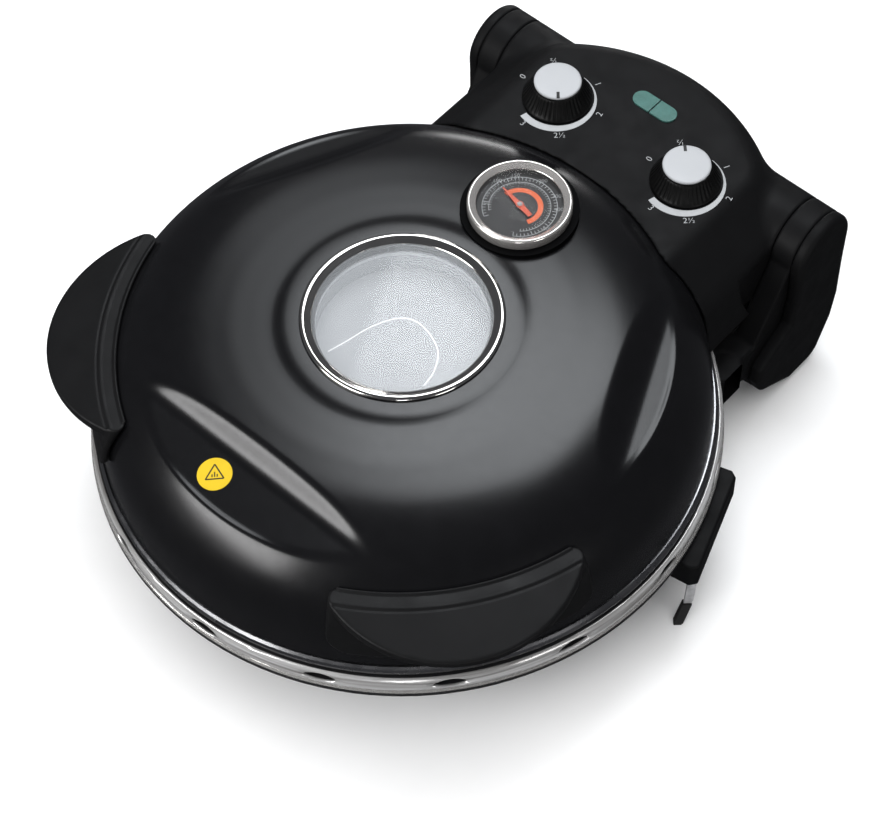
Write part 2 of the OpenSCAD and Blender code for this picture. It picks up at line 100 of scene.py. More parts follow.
# ---------------------------------------------------------------- mesh helpers
def put(name, verts, faces, body, slot, mat, replaces=(), smooth=True):
    """A mesh piece from points in millimetres about the oven's axis."""
    co = np.asarray(verts, float) * MM + np.array(AXIS)
    mesh = bpy.data.meshes.new(name)
    mesh.from_pydata(co.tolist(), [], [list(map(int, f)) for f in faces])
    mesh.validate()
    mesh.update()
    if smooth:
        mesh.shade_smooth()
    obj = bpy.data.objects.new(name, mesh)
    scene.collection.objects.link(obj)
    mesh.materials.append(mat)
    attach(obj, body)
    if replaces:
        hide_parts(*replaces)
    return obj


def curve_through(points, steps):
    """A smooth Catmull-Rom line through points, with steps places between each two."""
    p = np.asarray(points, float)
    p = np.vstack([2 * p[0] - p[1], p, 2 * p[-1] - p[-2]])
    out = []
    for i in range(1, len(p) - 2):
        for t in np.arange(steps) / steps:
            a, b, c, d = p[i - 1 : i + 3]
            out.append(0.5 * (2 * b + (c - a) * t + (2 * a - 5 * b + 4 * c - d) * t**2
                              + (3 * b - a - 3 * c + d) * t**3))
    out.append(p[-2])
    return np.array(out)


def lathe(profile, seg, centre=(0, 0), ripple=None):
    """A closed ring of quads: profile is a closed loop of (r, z). ripple(r, z, angle) shifts r."""
    prof = np.asarray(profile, float)
    ang = np.arange(seg) * 2 * math.pi / seg
    verts = []
    for r, z in prof:
        rr = np.full(seg, r) if ripple is None else r + ripple(r, z, ang)
        verts.append(np.stack([centre[0] + rr * np.cos(ang), centre[1] + rr * np.sin(ang),
                               np.full(seg, z)], 1))
    n = len(prof)
    faces = [(i * seg + j, i * seg + (j + 1) % seg, ((i + 1) % n) * seg + (j + 1) % seg,
              ((i + 1) % n) * seg + j) for i in range(n) for j in range(seg)]
    return np.vstack(verts), faces


def solid_of_revolution(profile, seg, centre=(0, 0), ripple=None):
    """Like lathe, for an open profile whose two ends lie on the axis."""
    prof = np.asarray(profile, float)
    verts, faces = lathe(prof[1:-1], seg, centre, ripple)
    rings = len(prof) - 2
    faces = faces[: (rings - 1) * seg]
    first, last = len(verts), len(verts) + 1
    verts = np.vstack([verts, [[*centre, prof[0][1]], [*centre, prof[-1][1]]]])
    faces += [(first, (j + 1) % seg, j) for j in range(seg)]
    top = (rings - 1) * seg
    faces += [(last, top + j, top + (j + 1) % seg) for j in range(seg)]
    return verts, faces


def flip(faces):
    """The same faces seen from the other side."""
    return [tuple(reversed(f)) for f in faces]


def mirrored(verts, faces):
    """The same solid on the other side of the oven."""
    return verts * [-1, 1, 1], flip(faces)


def joined(parts):
    """Several (verts, faces) as one."""
    verts, faces = [], []
    for v, f in parts:
        faces += [tuple(i + len(verts) for i in q) for q in f]
        verts += [list(p) for p in v]
    return np.array(verts), faces


def raised(profile, z):
    """A profile of (r, height) standing on z."""
    return [(r, z + height) for r, height in profile]


# ---------------------------------------------------------------- rounded solids from fields
# A field is a distance, in millimetres, that is below 0 inside the solid.
def smin(a, b, k):
    """The union of two fields, blended over a width of about k."""
    h = np.clip(0.5 + 0.5 * (b - a) / k, 0, 1)
    return b + (a - b) * h - k * h * (1 - h)


def smax(a, b, k):
    """What two fields have in common, with the edge rounded over a width of about k."""
    return -smin(-a, -b, k)


def field_mesh(f, low, high, cell):
    """Quads along f = 0, with f below 0 inside, by surface nets settled onto the surface."""
    # sample the field at the corners of a grid of cells
    low, high = np.asarray(low, float), np.asarray(high, float)
    n = np.ceil((high - low) / cell).astype(int) + 1
    axes = [low[a] + cell * np.arange(n[a]) for a in range(3)]
    grid = np.stack(np.meshgrid(*axes, indexing="ij"), -1)
    value = f(grid[..., 0], grid[..., 1], grid[..., 2])
    inside = value < 0
    cells = tuple(n - 1)

    # one vertex in each cell that the surface passes, at the mean of its edges' crossings
    total, count = np.zeros(cells + (3,)), np.zeros(cells)

    def corner(a, o):
        return a[tuple(slice(o[i], o[i] + cells[i]) for i in range(3))]

    offsets = [(x, y, z) for x in (0, 1) for y in (0, 1) for z in (0, 1)]
    for o in offsets:
        for axis in range(3):
            if o[axis]:
                continue
            q = tuple(o[i] + (i == axis) for i in range(3))
            va, vb = corner(value, o), corner(value, q)
            cross = (va < 0) != (vb < 0)
            t = np.where(cross, va / np.where(cross, va - vb, 1), 0)[..., None]
            pa, pb = corner(grid, o), corner(grid, q)
            total += np.where(cross[..., None], pa + (pb - pa) * t, 0)
            count += cross
    mixed = count > 0
    index = np.full(cells, -1)
    index[mixed] = np.arange(mixed.sum())
    verts = total[mixed] / count[mixed][:, None]

    # one quad across each grid edge whose ends lie on different sides
    faces = []
    for axis in range(3):
        u, w = (axis + 1) % 3, (axis + 2) % 3
        a = np.moveaxis(inside, axis, 0)
        cross = a[1:] != a[:-1]
        outward = a[:-1]
        order = [axis] + [i for i in range(3) if i != axis]
        where = np.argwhere(cross)
        heads = outward[tuple(where.T)]
        at = np.zeros((len(where), 3), int)
        for c, i in enumerate(order):
            at[:, i] = where[:, c]
        ok = (at[:, u] > 0) & (at[:, w] > 0) & (at[:, u] < cells[u]) & (at[:, w] < cells[w])
        at, heads = at[ok], heads[ok]
        quad = []
        for du, dw in ((1, 1), (0, 1), (0, 0), (1, 0)):
            c = at.copy()
            c[:, u] -= du
            c[:, w] -= dw
            quad.append(index[tuple(c.T)])
        quad = np.stack(quad, 1)
        quad[~heads] = quad[~heads][:, ::-1]
        faces.append(quad)

    # a few Newton steps settle the vertices onto the surface
    step, rounds, furthest = cell * 0.05, 4, cell * 0.6
    for _ in range(rounds):
        d = f(*verts.T)
        g = np.stack([f(*(verts + step * e).T) - f(*(verts - step * e).T)
                      for e in np.eye(3)], 1) / (2 * step)
        move = d / np.maximum((g * g).sum(1), 0.2)
        verts = verts - np.clip(move, -furthest, furthest)[:, None] * g
    return verts, np.vstack(faces).tolist()


def polygon_field(u, v, poly):
    """Distance to a closed polygon in the plane, below 0 inside."""
    poly = np.asarray(poly, float)
    best, sign = np.full(u.shape, np.inf), np.ones(u.shape)
    for a, b in zip(poly, np.roll(poly, -1, 0)):
        e = b - a
        t = np.clip(((u - a[0]) * e[0] + (v - a[1]) * e[1]) / (e @ e), 0, 1)
        best = np.minimum(best, (u - a[0] - e[0] * t) ** 2 + (v - a[1] - e[1] * t) ** 2)
        c1, c2 = v >= a[1], v < b[1]
        c3 = e[0] * (v - a[1]) > e[1] * (u - a[0])
        sign = np.where((c1 & c2 & c3) | (~c1 & ~c2 & ~c3), -sign, sign)
    return sign * np.sqrt(best)


def inset(poly, d):
    """The polygon moved inwards by d, for rounding its corners back out by d."""
    p = np.asarray(poly, float)
    area = sum(a[0] * b[1] - a[1] * b[0] for a, b in zip(p, np.roll(p, -1, 0)))
    s = 1 if area > 0 else -1
    out = []
    for a, b, c in zip(np.roll(p, 1, 0), p, np.roll(p, -1, 0)):
        n1 = s * np.array([-(b - a)[1], (b - a)[0]]) / np.linalg.norm(b - a)
        n2 = s * np.array([-(c - b)[1], (c - b)[0]]) / np.linalg.norm(c - b)
        m = n1 + n2
        out.append(b + m * d / max(m @ n1, 0.4))
    return out


def slab(d2, x, x_low, x_high, r):
    """A flat outline of distance d2 made thick along x, with its edges rounded by r."""
    dx = np.abs(x - (x_low + x_high) / 2) - (x_high - x_low) / 2
    a, b = d2 + r, dx + r
    return np.minimum(np.maximum(a, b), 0) + np.hypot(np.maximum(a, 0), np.maximum(b, 0)) - r


# ---------------------------------------------------------------- materials
def material(name, color, rough, metallic=0.0, specular=0.5, grain=0.0, grain_size=900.0,
             mottle=0.12, mottle_size=35.0, rough_spread=0.06, coat=0.0, coat_rough=0.1,
             alpha=1.0, stretch=(1, 1, 1)):
    """A Principled material whose colour, roughness and bump all come from object-space noise.

    grain is the bump's height in millimetres, the sizes are noise scales, mottle is how far
    the colour varies, and stretch scales the noise along each axis.
    """
    mat = bpy.data.materials.new(name)
    mat.use_nodes = True
    nt = mat.node_tree
    p = nt.nodes["Principled BSDF"]
    p.inputs["Metallic"].default_value = metallic
    p.inputs["Specular IOR Level"].default_value = specular
    p.inputs["Coat Weight"].default_value = coat
    p.inputs["Coat Roughness"].default_value = coat_rough
    p.inputs["IOR"].default_value = 1.45
    p.inputs["Alpha"].default_value = alpha
    where = nt.nodes.new("ShaderNodeTexCoord")
    place = nt.nodes.new("ShaderNodeMapping")
    place.inputs["Scale"].default_value = stretch
    nt.links.new(where.outputs["Object"], place.inputs["Vector"])

    def noise(scale, detail):
        node = nt.nodes.new("ShaderNodeTexNoise")
        node.inputs["Scale"].default_value = scale
        node.inputs["Detail"].default_value = detail
        nt.links.new(place.outputs["Vector"], node.inputs["Vector"])
        return node.outputs["Fac"]

    def span(fac, low, high):
        """Noise, which mostly lies between 0.3 and 0.7, spread over a range."""
        node = nt.nodes.new("ShaderNodeMapRange")
        node.inputs["From Min"].default_value, node.inputs["From Max"].default_value = 0.3, 0.7
        node.inputs["To Min"].default_value, node.inputs["To Max"].default_value = low, high
        nt.links.new(fac, node.inputs["Value"])
        return node.outputs["Result"]

    cloud = noise(mottle_size, 5)
    mix = nt.nodes.new("ShaderNodeMix")
    mix.data_type = "RGBA"
    mix.inputs["A"].default_value = (*[c * (1 - mottle) for c in color], 1)
    mix.inputs["B"].default_value = (*[min(1, c * (1 + mottle)) for c in color], 1)
    nt.links.new(span(cloud, 0, 1), mix.inputs["Factor"])
    nt.links.new(mix.outputs["Result"], p.inputs["Base Color"])
    nt.links.new(span(noise(mottle_size * 2.3, 3), rough - rough_spread, rough + rough_spread),
                 p.inputs["Roughness"])
    if grain:
        bump = nt.nodes.new("ShaderNodeBump")
        bump.inputs["Distance"].default_value = grain * MM
        bump.inputs["Strength"].default_value = 0.6
        nt.links.new(noise(grain_size, 3), bump.inputs["Height"])
        nt.links.new(bump.outputs["Normal"], p.inputs["Normal"])
    return mat


# One material for each of the record's slots
M = {
    "black_lid": material("lid_enamel", (0.0035, 0.0035, 0.004), 0.25, grain=0.008,
                          grain_size=700, mottle_size=90, rough_spread=0.012, specular=0.5),
    "black_pan": material("pan_enamel", (0.012, 0.012, 0.013), 0.34, grain=0.03, grain_size=500),
    "chrome": material("chrome", (0.80, 0.78, 0.75), 0.13, metallic=1.0, grain=0.01,
                       grain_size=300, mottle=0.05, rough_spread=0.04),
    "dark_chrome": material("rolled_rim", (0.34, 0.34, 0.35), 0.26, metallic=1.0, grain=0.01,
                            grain_size=400, mottle=0.1),
    "steel": material("steel", (0.62, 0.62, 0.63), 0.3, metallic=1.0, grain=0.02,
                      grain_size=700, mottle=0.1),
    "reflector": material("reflector", (0.66, 0.67, 0.69), 0.33, metallic=1.0, grain=0.05,
                          grain_size=160, mottle=0.12),
    "element": material("element_sheath", (0.16, 0.15, 0.145), 0.5, metallic=0.7, grain=0.05,
                        grain_size=900, mottle=0.3),
    "stone": material("stone", (0.38, 0.34, 0.29), 0.85, grain=0.25, grain_size=450, mottle=0.16,
                      mottle_size=90, specular=0.25),
    "black_plastic": material("black_plastic", (0.004, 0.004, 0.0043), 0.56, grain=0.03,
                              grain_size=1500, mottle=0.1, specular=0.17),
    "knob_black": material("knob_black", (0.003, 0.003, 0.003), 0.42, grain=0.02,
                           grain_size=1500, specular=0.2),
    "knob_white": material("knob_white", (0.36, 0.37, 0.385), 0.45, grain=0.01, grain_size=900,
                           mottle=0.02),
    "rubber_black": material("rubber", (0.014, 0.014, 0.014), 0.75, grain=0.05, grain_size=900),
    "window_glass": material("clear_glass", (0.80, 0.84, 0.88), 0.05, alpha=0.16, mottle=0.03,
                             rough_spread=0.02, specular=0.8),
    "lens": material("green_lens", (0.05, 0.13, 0.115), 0.22, mottle=0.12, mottle_size=260,
                     rough_spread=0.04, coat=0.6, coat_rough=0.08),
    "dial": material("dial_black", (0.008, 0.008, 0.009), 0.4, mottle=0.15, grain=0.004),
    "needle": material("needle_red", (0.62, 0.085, 0.035), 0.4, mottle=0.08, mottle_size=300),
    "print_white": material("print_white", (0.34, 0.35, 0.36), 0.55, mottle=0.05,
                            mottle_size=400),
    "marker_yellow": material("marker_yellow", (0.54, 0.37, 0.007), 0.4, mottle=0.04,
                              mottle_size=120),
    "switch_body": material("switch_body", (0.05, 0.052, 0.055), 0.5, grain=0.02),
}

# Materials of single pieces
pane_mat = material("pale_pane", (0.237, 0.242, 0.249), 0.45, mottle=0.02, rough_spread=0.03,
                    specular=0.15)
# the window's recess wall: a dark grey that paints in the shade on it
recess_wall_shade_mat = material("pane_wall_painted_shade", (0.090, 0.093, 0.098), 0.25, mottle=0.04, rough_spread=0.03,
                    specular=0.25)
line_mat = material("pane_line", (0.95, 0.95, 0.96), 0.2, mottle=0.01)
ink_mat = material("ink_black", (0.012, 0.012, 0.012), 0.5, mottle=0.1)
arc_mat = material("dial_orange", (0.70, 0.13, 0.04), 0.5, mottle=0.06, mottle_size=300)
gauge_glass_mat = material("gauge_glass", (0.10, 0.10, 0.10), 0.05, alpha=0.10, mottle=0.03,
                           rough_spread=0.02)
trim_mat = material("trim_chrome", (0.80, 0.78, 0.75), 0.14, metallic=0.8, grain=0.02,
                    grain_size=200, mottle=0.06, rough_spread=0.05)
# the vent ring's chrome, with streaks painted into its colour as reflection bands
reflection_streak_mat = material("vent_chrome_painted_reflections", (0.74, 0.71, 0.68), 0.2, metallic=0.62, grain=0.03,
                      grain_size=120, mottle=0.6, mottle_size=9, rough_spread=0.06,
                      stretch=(1, 1, 45))
handle_mat = material("handle_plastic", (0.0045, 0.0045, 0.0048), 0.5, grain=0.03,
                      grain_size=1500, specular=0.24)
boss_mat = material("boss_black", (0.0018, 0.0018, 0.002), 0.6, mottle=0.1, grain=0.01,
                    specular=0.04)
gauge_chrome_mat = material("gauge_chrome", (0.84, 0.81, 0.78), 0.2, metallic=0.82, grain=0.01,
                            grain_size=300, mottle=0.06, rough_spread=0.04)
leg_mat = material("leg_steel", (0.60, 0.60, 0.61), 0.35, metallic=0.5, grain=0.03,
                   grain_size=300, mottle=0.3, mottle_size=160)

# The CAD nodes that are drawn as they are, by slot. Pieces below replace the others.
CAD_SLOTS = {
    "black_pan": ["base_pan"],
    "chrome": ["trim_ring"],
    "dark_chrome": ["lid_rim_ring"],
    "steel": ["foot_screws", "hinge_pin_left", "hinge_pin_right", "gauge_case", "gauge_nut",
              "window_retainer", "housing_screws", "handle_screws", "knob_left_shaft",
              "knob_right_shaft", "lower_element_clips", "upper_element_clips"],
    "reflector": ["lower_reflector", "lid_liner"],
    "element": ["lower_element", "upper_element"],
    "stone": ["baking_stone"],
    "black_plastic": ["terminal_cover", "cable_gland", "housing_base", "gauge_boss"],
    "rubber_black": ["feet", "bracket_pads", "window_gasket"],
    "window_glass": ["window_glass"],
    "lens": ["indicator_lens_left", "indicator_lens_right"],
    "dial": ["gauge_dial"],
    "needle": ["gauge_needle"],
    "print_white": ["scale_left", "scale_right"],
    "marker_yellow": ["marker_disc"],
    "switch_body": ["switch_left", "switch_right", "lamp_holder"],
}
# Two of them have a material of their own.
OWN_LOOK = {"trim_ring": trim_mat, "gauge_boss": boss_mat}


def dress_cad_nodes():
    for slot, nodes in CAD_SLOTS.items():
        for node in nodes:
            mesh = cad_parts[node].data
            mesh.materials.clear()
            mesh.materials.append(OWN_LOOK.get(node, M[slot]))


dress_cad_nodes()


# ---------------------------------------------------------------- lid shell
# (r, z) along the outside of the dome, from the window to the rim
DOME = [(50, 154.5), (58, 154.5), (62, 154.2), (66, 153.35), (78, 152.8), (92, 152), (112, 149.8),
        (128, 145.2), (140, 138.3), (150.5, 127.8), (157, 118), (160.5, 108), (162.5, 94),
        (163.5, 84)]
DOME_STEPS = 12
LID_THICK = 1.2
# A crescent's floor slopes up from its outer arc, which has this radius and height.
FLOOR_SLOPE, ARC_R, ARC_Z = 0.155, 139.7, 137.2
# Each crescent: degrees from the front, distance of its straight upper edge, slope of its wall
CRESCENTS = ((0, 101.6, 1.0), (115, 113.7, 0.85), (-115, 113.7, 0.85))


def pressed(r, z, az):
    """The dome's height z at radius r after the crescents are pressed into it."""
    for centre, upper, slope in CRESCENTS:
        off = np.radians((az - centre + 180) % 360 - 180)
        d = r * np.cos(off)
        floor = ARC_Z + FLOOR_SLOPE * (ARC_R - d)
        # the wall rises from the floor to the straight edge on the dome
        edge_z = 164.5 - 0.132 * upper
        wall = edge_z - slope * (d - upper)
        # a lip stands up outside the arc
        lip = ARC_Z + 1.0 - 0.75 * (ARC_R - r)
        cut = smax(smax(floor, wall, 3.0), lip, 1.2)
        # only the flank within 60 degrees of the crescent is pressed in
        near = np.abs(off) < math.pi / 3
        z = np.where(near & (r > 90), smin(z, cut, 2.0), z)
    return z


def lid_shell():
    line = curve_through(DOME, DOME_STEPS)
    along = np.r_[0, np.cumsum(np.hypot(*np.diff(line, axis=0).T))]
    # the rows lie closest together where the crescents are
    rows = np.r_[np.arange(0, 44, 2.2), np.arange(44, 98, 1.0), np.arange(98, along[-1], 2.4),
                 along[-1]]
    rr, zz = np.interp(rows, along, line[:, 0]), np.interp(rows, along, line[:, 1])
    seg = 480
    az = np.arange(seg) * 360 / seg
    verts = []
    for r, z in zip(rr, zz):
        h = pressed(np.full(seg, r), np.full(seg, z), az)
        a = np.radians(az)
        verts.append(np.stack([r * np.sin(a), -r * np.cos(a), h], 1))
    faces = [(i * seg + j, (i + 1) * seg + j, (i + 1) * seg + (j + 1) % seg,
              i * seg + (j + 1) % seg) for i in range(len(rr) - 1) for j in range(seg)]
    obj = put("lid_shell_pressed", np.vstack(verts), faces, "lid", "black_lid", M["black_lid"],
              ["lid_shell"])
    thick = obj.modifiers.new("thickness", "SOLIDIFY")
    thick.thickness = LID_THICK * MM
    thick.offset = -1


lid_shell()


# ---------------------------------------------------------------- vent ring
VENT_COUNT, VENT_TURN = 16, 4.5
SLOT_LONG, SLOT_SHARE, VENT_THICK = 17.6, 0.66, 1.4
VENT_LOW, VENT_TOP = cad_box("vent_ring")[0].z, cad_box("vent_ring")[1].z
VENT_R = cad_box("vent_ring")[1].x


def vent_ring():
    """The band between pan and lid, with one oval slot in each of its bays."""
    around, steps = 48, 4
    bay = 2 * math.pi * VENT_R / VENT_COUNT
    height = VENT_TOP - VENT_LOW
    turn = np.arange(around) * 2 * math.pi / around
    c, q = np.cos(turn), np.sin(turn)
    # each bay is a mesh between its slot's oval and the bay's rectangle
    oval = np.stack([SLOT_LONG / 2 * c, height * SLOT_SHARE / 2 * q], 1)
    reach = 0.5 / np.maximum(np.abs(c), np.abs(q))
    frame_line = np.stack([reach * c * bay, reach * q * height], 1)
    verts, faces = [], []
    for i in range(VENT_COUNT):
        middle_turn = math.radians(i * 360 / VENT_COUNT + VENT_TURN - 90)
        base = len(verts)
        for k in range(steps + 1):
            for u, v in oval + (frame_line - oval) * k / steps:
                t = v / height + 0.5
                # the wall leans in a little and curls over at the top
                r = VENT_R - 1.7 * t**6 - 0.2 * t
                a = middle_turn + u / VENT_R
                verts.append((r * math.cos(a), r * math.sin(a), VENT_LOW + t * height))
        for k in range(steps):
            for j in range(around):
                a, b = base + k * around + j, base + k * around + (j + 1) % around
                faces.append((b, a, a + around, b + around))
    # the streaked chrome paints reflection bands onto the ring
    obj = put("vent_ring_pressed", verts, flip(faces), "base", "chrome", reflection_streak_mat,
              ["vent_ring"])
    weld = obj.modifiers.new("weld", "WELD")
    weld.merge_threshold = 0.05 * MM
    thick = obj.modifiers.new("thickness", "SOLIDIFY")
    thick.thickness = VENT_THICK * MM
    thick.offset = -1


def vent_shade_channel():
    """A black channel behind the slots, put there as painted shade inside them."""
    inner, skin = VENT_R - 5.7, 0.9
    foot, top = VENT_R - 0.3, VENT_R - 1.9
    channel = [(foot, VENT_LOW), (foot, VENT_LOW + skin), (inner + skin, VENT_LOW + skin),
               (inner + skin, VENT_TOP - skin), (top, VENT_TOP - skin), (top, VENT_TOP),
               (inner, VENT_TOP), (inner, VENT_LOW)]
    put("vent_ring_shade_channel", *lathe(channel, 200), "base", "black_pan", M["black_pan"],
        smooth=False)


vent_ring()
vent_shade_channel()


# ---------------------------------------------------------------- handles
# A curved plate on the dome's flank, with a ledge on top and a half-round grip. The right one's
# middle lies 52.5 degrees from the front, and a turn counts from +X.
HANDLE_TURN, HANDLE_HALF = math.radians(52.5 - 90), math.radians(24.25)
PLATE_R, PLATE_MID_Z, PLATE_HALF_Z = 160.0, 114, 17
PLATE_HALF_LONG = HANDLE_HALF * PLATE_R
LEDGE_Z = PLATE_MID_Z + PLATE_HALF_Z
LOW_CORNER_R, END_R = 14, 5.5
GRIP_CENTRE, GRIP_R, GRIP_IN = 117.7, 69.3, 156.5
LIP_R, CREASE_R, LINE_HALF_LONG = 149.4, 158.9, 64


def handle_field(x, y, z):
    """The right-hand handle turned so that it points along +X."""
    r, s = np.hypot(x, y), np.arctan2(y, x) * PLATE_R
    inner = np.interp(z, [97, 108, 118, 128, 131], [162.9, 161.5, 158.3, 151.3, 148.3])
    outer = np.interp(z, [97, 108, 118, 126, 131], [166.2, 165.2, 163.2, 160.5, 158.5])
    # the plate seen from above: a strip with rounded ends
    deep = (outer - inner) / 2
    end_r = np.minimum(END_R, deep)
    a = np.abs(s) - (PLATE_HALF_LONG - end_r)
    b = np.abs(r - (inner + outer) / 2) - (deep - end_r)
    plan = np.minimum(np.maximum(a, b), 0) + np.hypot(np.maximum(a, 0), np.maximum(b, 0)) - end_r
    # seen from the front: large rounds at the lower corners
    a = np.maximum(np.abs(s) - (PLATE_HALF_LONG - LOW_CORNER_R), 0)
    b = np.maximum(PLATE_MID_Z - PLATE_HALF_Z + LOW_CORNER_R - z, 0)
    plate = smax(plan, np.abs(z - PLATE_MID_Z) - PLATE_HALF_Z, 1.0)
    plate = smax(plate, np.hypot(a, b) - LOW_CORNER_R, 0.5)
    # the grip: a disc between a sloping top and a flatter underside
    disc = np.hypot(x - GRIP_CENTRE, y) - GRIP_R
    grip = smax(disc, z - 130.6 + 0.19 * (r - 158.5), 1.6)
    grip = smax(grip, 124 - 0.116 * (r - 156) - z, 1.6)
    grip = smax(np.maximum(grip, GRIP_IN - r), np.abs(s) - PLATE_HALF_LONG + 1.0, 2.5)
    # a fine lip along the dome and a crease between ledge and grip
    lip = np.maximum(np.hypot(r - LIP_R, z - LEDGE_Z) - 0.9, np.abs(s) - LINE_HALF_LONG)
    crease = np.hypot(r - CREASE_R, z - LEDGE_Z - 0.3) - 1.1
    crease = np.maximum(crease, np.abs(s) - LINE_HALF_LONG)
    return smax(smin(smin(plate, grip, 0.8), lip, 0.6), -crease, 0.4)


def handles():
    verts, faces = field_mesh(handle_field, (132, -70, 95), (190, 70, 133), 0.75)
    c, s = math.cos(HANDLE_TURN), math.sin(HANDLE_TURN)
    right = np.stack([verts[:, 0] * c - verts[:, 1] * s, verts[:, 0] * s + verts[:, 1] * c,
                      verts[:, 2]], 1)
    left = mirrored(right, faces)
    put("handle_right_moulded", right, faces, "lid", "black_plastic", handle_mat,
        ["handle_right"])
    put("handle_left_moulded", *left, "lid", "black_plastic", handle_mat, ["handle_left"])


handles()


# ---------------------------------------------------------------- control housing and hinge
dome_line = curve_through(DOME, DOME_STEPS)
HOUSING_LOW_Z, HOUSING_FRONT_Y, HOUSING_HALF_WIDE = 80, 100, 105.3
BACK_CENTRE_Y, BACK_R = 131, 115
BARREL_R, BARREL_END_X, ARM_SWEEP_R = 22, 98.3, 50


def housing_field(x, y, z):
    ax = np.abs(x)
    # front view: level crown, sloping shoulders, steep flanks
    crown = z - PANEL_Z
    shoulder = (z - 133.5 + 0.759 * (ax - 73)) / 1.255
    flank = (z - 84 + 5.17 * (ax - 104.5)) / 5.27
    body = smax(smax(crown, shoulder, 3.0), flank, 5.0)
    body = smax(body, ax - HOUSING_HALF_WIDE, 4.0)
    # plan view: a round back, bevelled above
    out = np.hypot(x, y - BACK_CENTRE_Y) - BACK_R
    body = smax(body, smax(out, (z - 121 + 1.33 * out) / 1.66, 8.0), 6.0)
    body = smax(body, HOUSING_FRONT_Y - y, 1.0)
    # the hinge barrels, cut off level below
    from_pin = np.hypot(y - HINGE_Y, z - HINGE_Z)
    f = smin(body, smax(from_pin - BARREL_R, ax - BARREL_END_X, 1.0), 4.0)
    f = smax(f, HOUSING_LOW_Z - z, 1.0)
    # the front follows the dome; lean turns a step along r into a distance
    dome_r = np.interp(-z, -dome_line[:, 1], dome_line[:, 0])
    lean = np.interp(z, [84, 108, 118, 128, 138, 146, 150], [1, 0.97, 0.88, 0.75, 0.6, 0.45, 0.3])
    f = smax(f, (dome_r + 0.5 - np.hypot(x, y)) * lean, 1.0)
    # room for the arms
    return smax(f, -np.maximum(from_pin - ARM_SWEEP_R, BARREL_END_X - ax), 1.0)


def control_housing():
    verts, faces = field_mesh(housing_field, (-108, 98, 78), (108, 249, 138), 1.25)
    put("control_housing_moulded", verts, faces, "lid", "black_plastic", M["black_plastic"],
        ["control_housing"])


control_housing()

# (y, z) round an arm: the rear edge that bracket and cover share, then each one's front edge
ARM_REAR = [(228.9, 105), (228.5, 80), (229, 49), (226, 30), (216, 8), (210, 4), (190, 4),
            (163, 20)]
BRACKET_FRONT = [(153, 36), (152, 46), (165, 70), (178, 92), (185.2, 105)]
COVER_FRONT = [(157, 34), (158, 44), (168, 52), (183, 62), (185.2, 80), (185.2, 105)]
ARM_CORNER = 3.0
ARM_IN_X, ARM_OUT_X, COVER_OUT_X = 98.4, 112.0, 119.5
# The block on an arm's inner side, as its middle and its half sizes, and the round lug on it
ARM_BLOCK, ARM_BLOCK_HALF = (98, 151, 48), (14, 39, 12)
LUG_X, LUG_Y, LUG_R = 108, 139, 10
# z, then r, up the outside of the pan where the arms fit round it
ARM_PAN = ([36, 51.5, 52, 62, 66], [143, 146.5, 156.3, 161.3, 163.3])


def arm_outline(y, z, front):
    """An arm seen from the side, with a round eye about the hinge pin."""
    poly = polygon_field(y, z, inset(ARM_REAR + front, ARM_CORNER)) - ARM_CORNER
    return smin(poly, np.hypot(y - HINGE_Y, z - HINGE_Z) - BARREL_R, 1.0)


def bracket_field(x, y, z):
    """The right arm's inner half, with the block and lug that reach under the pan's rim."""
    arm = slab(arm_outline(y, z, BRACKET_FRONT), x, ARM_IN_X, ARM_OUT_X, 0.8)
    dx, dy, dz = (np.abs(v - mid) - half
                  for v, mid, half in zip((x, y, z), ARM_BLOCK, ARM_BLOCK_HALF))
    block = smax(smax(dy, dz, 2.0), dx, 2.0)
    lug = smax(np.hypot(x - LUG_X, y - LUG_Y) - LUG_R, dz, 2.0)
    f = smin(smin(block, lug, 2.0), arm, 1.5)
    return np.maximum(f, np.interp(z, *ARM_PAN) - np.hypot(x, y))


def cover_field(x, y, z):
    """The right arm's outer half, whose hidden inner edge isn't rounded."""
    shell = slab(arm_outline(y, z, COVER_FRONT), x, 100.0, COVER_OUT_X, 3.5)
    return np.maximum(shell, ARM_OUT_X + 0.15 - x)


def hinge_arms():
    for field, stem, x_low, x_high in ((bracket_field, "hinge_bracket", 82, 114),
                                       (cover_field, "bracket_cover", 110.6, 121)):
        right = field_mesh(field, (x_low, 108, 1), (x_high, 232, 130), 1.15)
        left = mirrored(*right)
        for (side, _), shape in zip(SIDES, (left, right)):
            put(f"{stem}_{side}_moulded", *shape, "base", "black_plastic", M["black_plastic"],
                [f"{stem}_{side}"])


hinge_arms()


# ---------------------------------------------------------------- side blocks
# (x, y) round the right one
BLOCK = [(150, 22), (174, 26), (177, 30), (157, 86), (153, 88), (137, 83)]
BLOCK_LOW_Z, BLOCK_TOP_Z, BLOCK_ROUND = 44, 62, 1.2
# z, then r, up the outside of the pan where the blocks fit round it
BLOCK_PAN = ([44, 51.5, 52, 62, 66], [145, 146.5, 156.3, 161.3, 163.3])


def side_block_field(x, y, z):
    outline = polygon_field(x, y, inset(BLOCK, BLOCK_ROUND)) - BLOCK_ROUND
    f = slab(outline, z, BLOCK_LOW_Z, BLOCK_TOP_Z, BLOCK_ROUND)
    return np.maximum(f, np.interp(z, *BLOCK_PAN) - np.hypot(x, y))


def side_blocks():
    right = field_mesh(side_block_field, (134, 18, 42), (180, 91, 64), 0.8)
    for (side, _), shape in zip(SIDES, (mirrored(*right), right)):
        put(f"side_block_{side}_moulded", *shape, "base", "black_plastic", M["black_plastic"],
            [f"side_block_{side}"])


side_blocks()


# ---------------------------------------------------------------- side legs
# Directions along a strip's width, and through it
LEG_FACE, LEG_BACK = np.array([0.73, 0.68, 0.0]), np.array([-0.68, 0.73, 0.0])


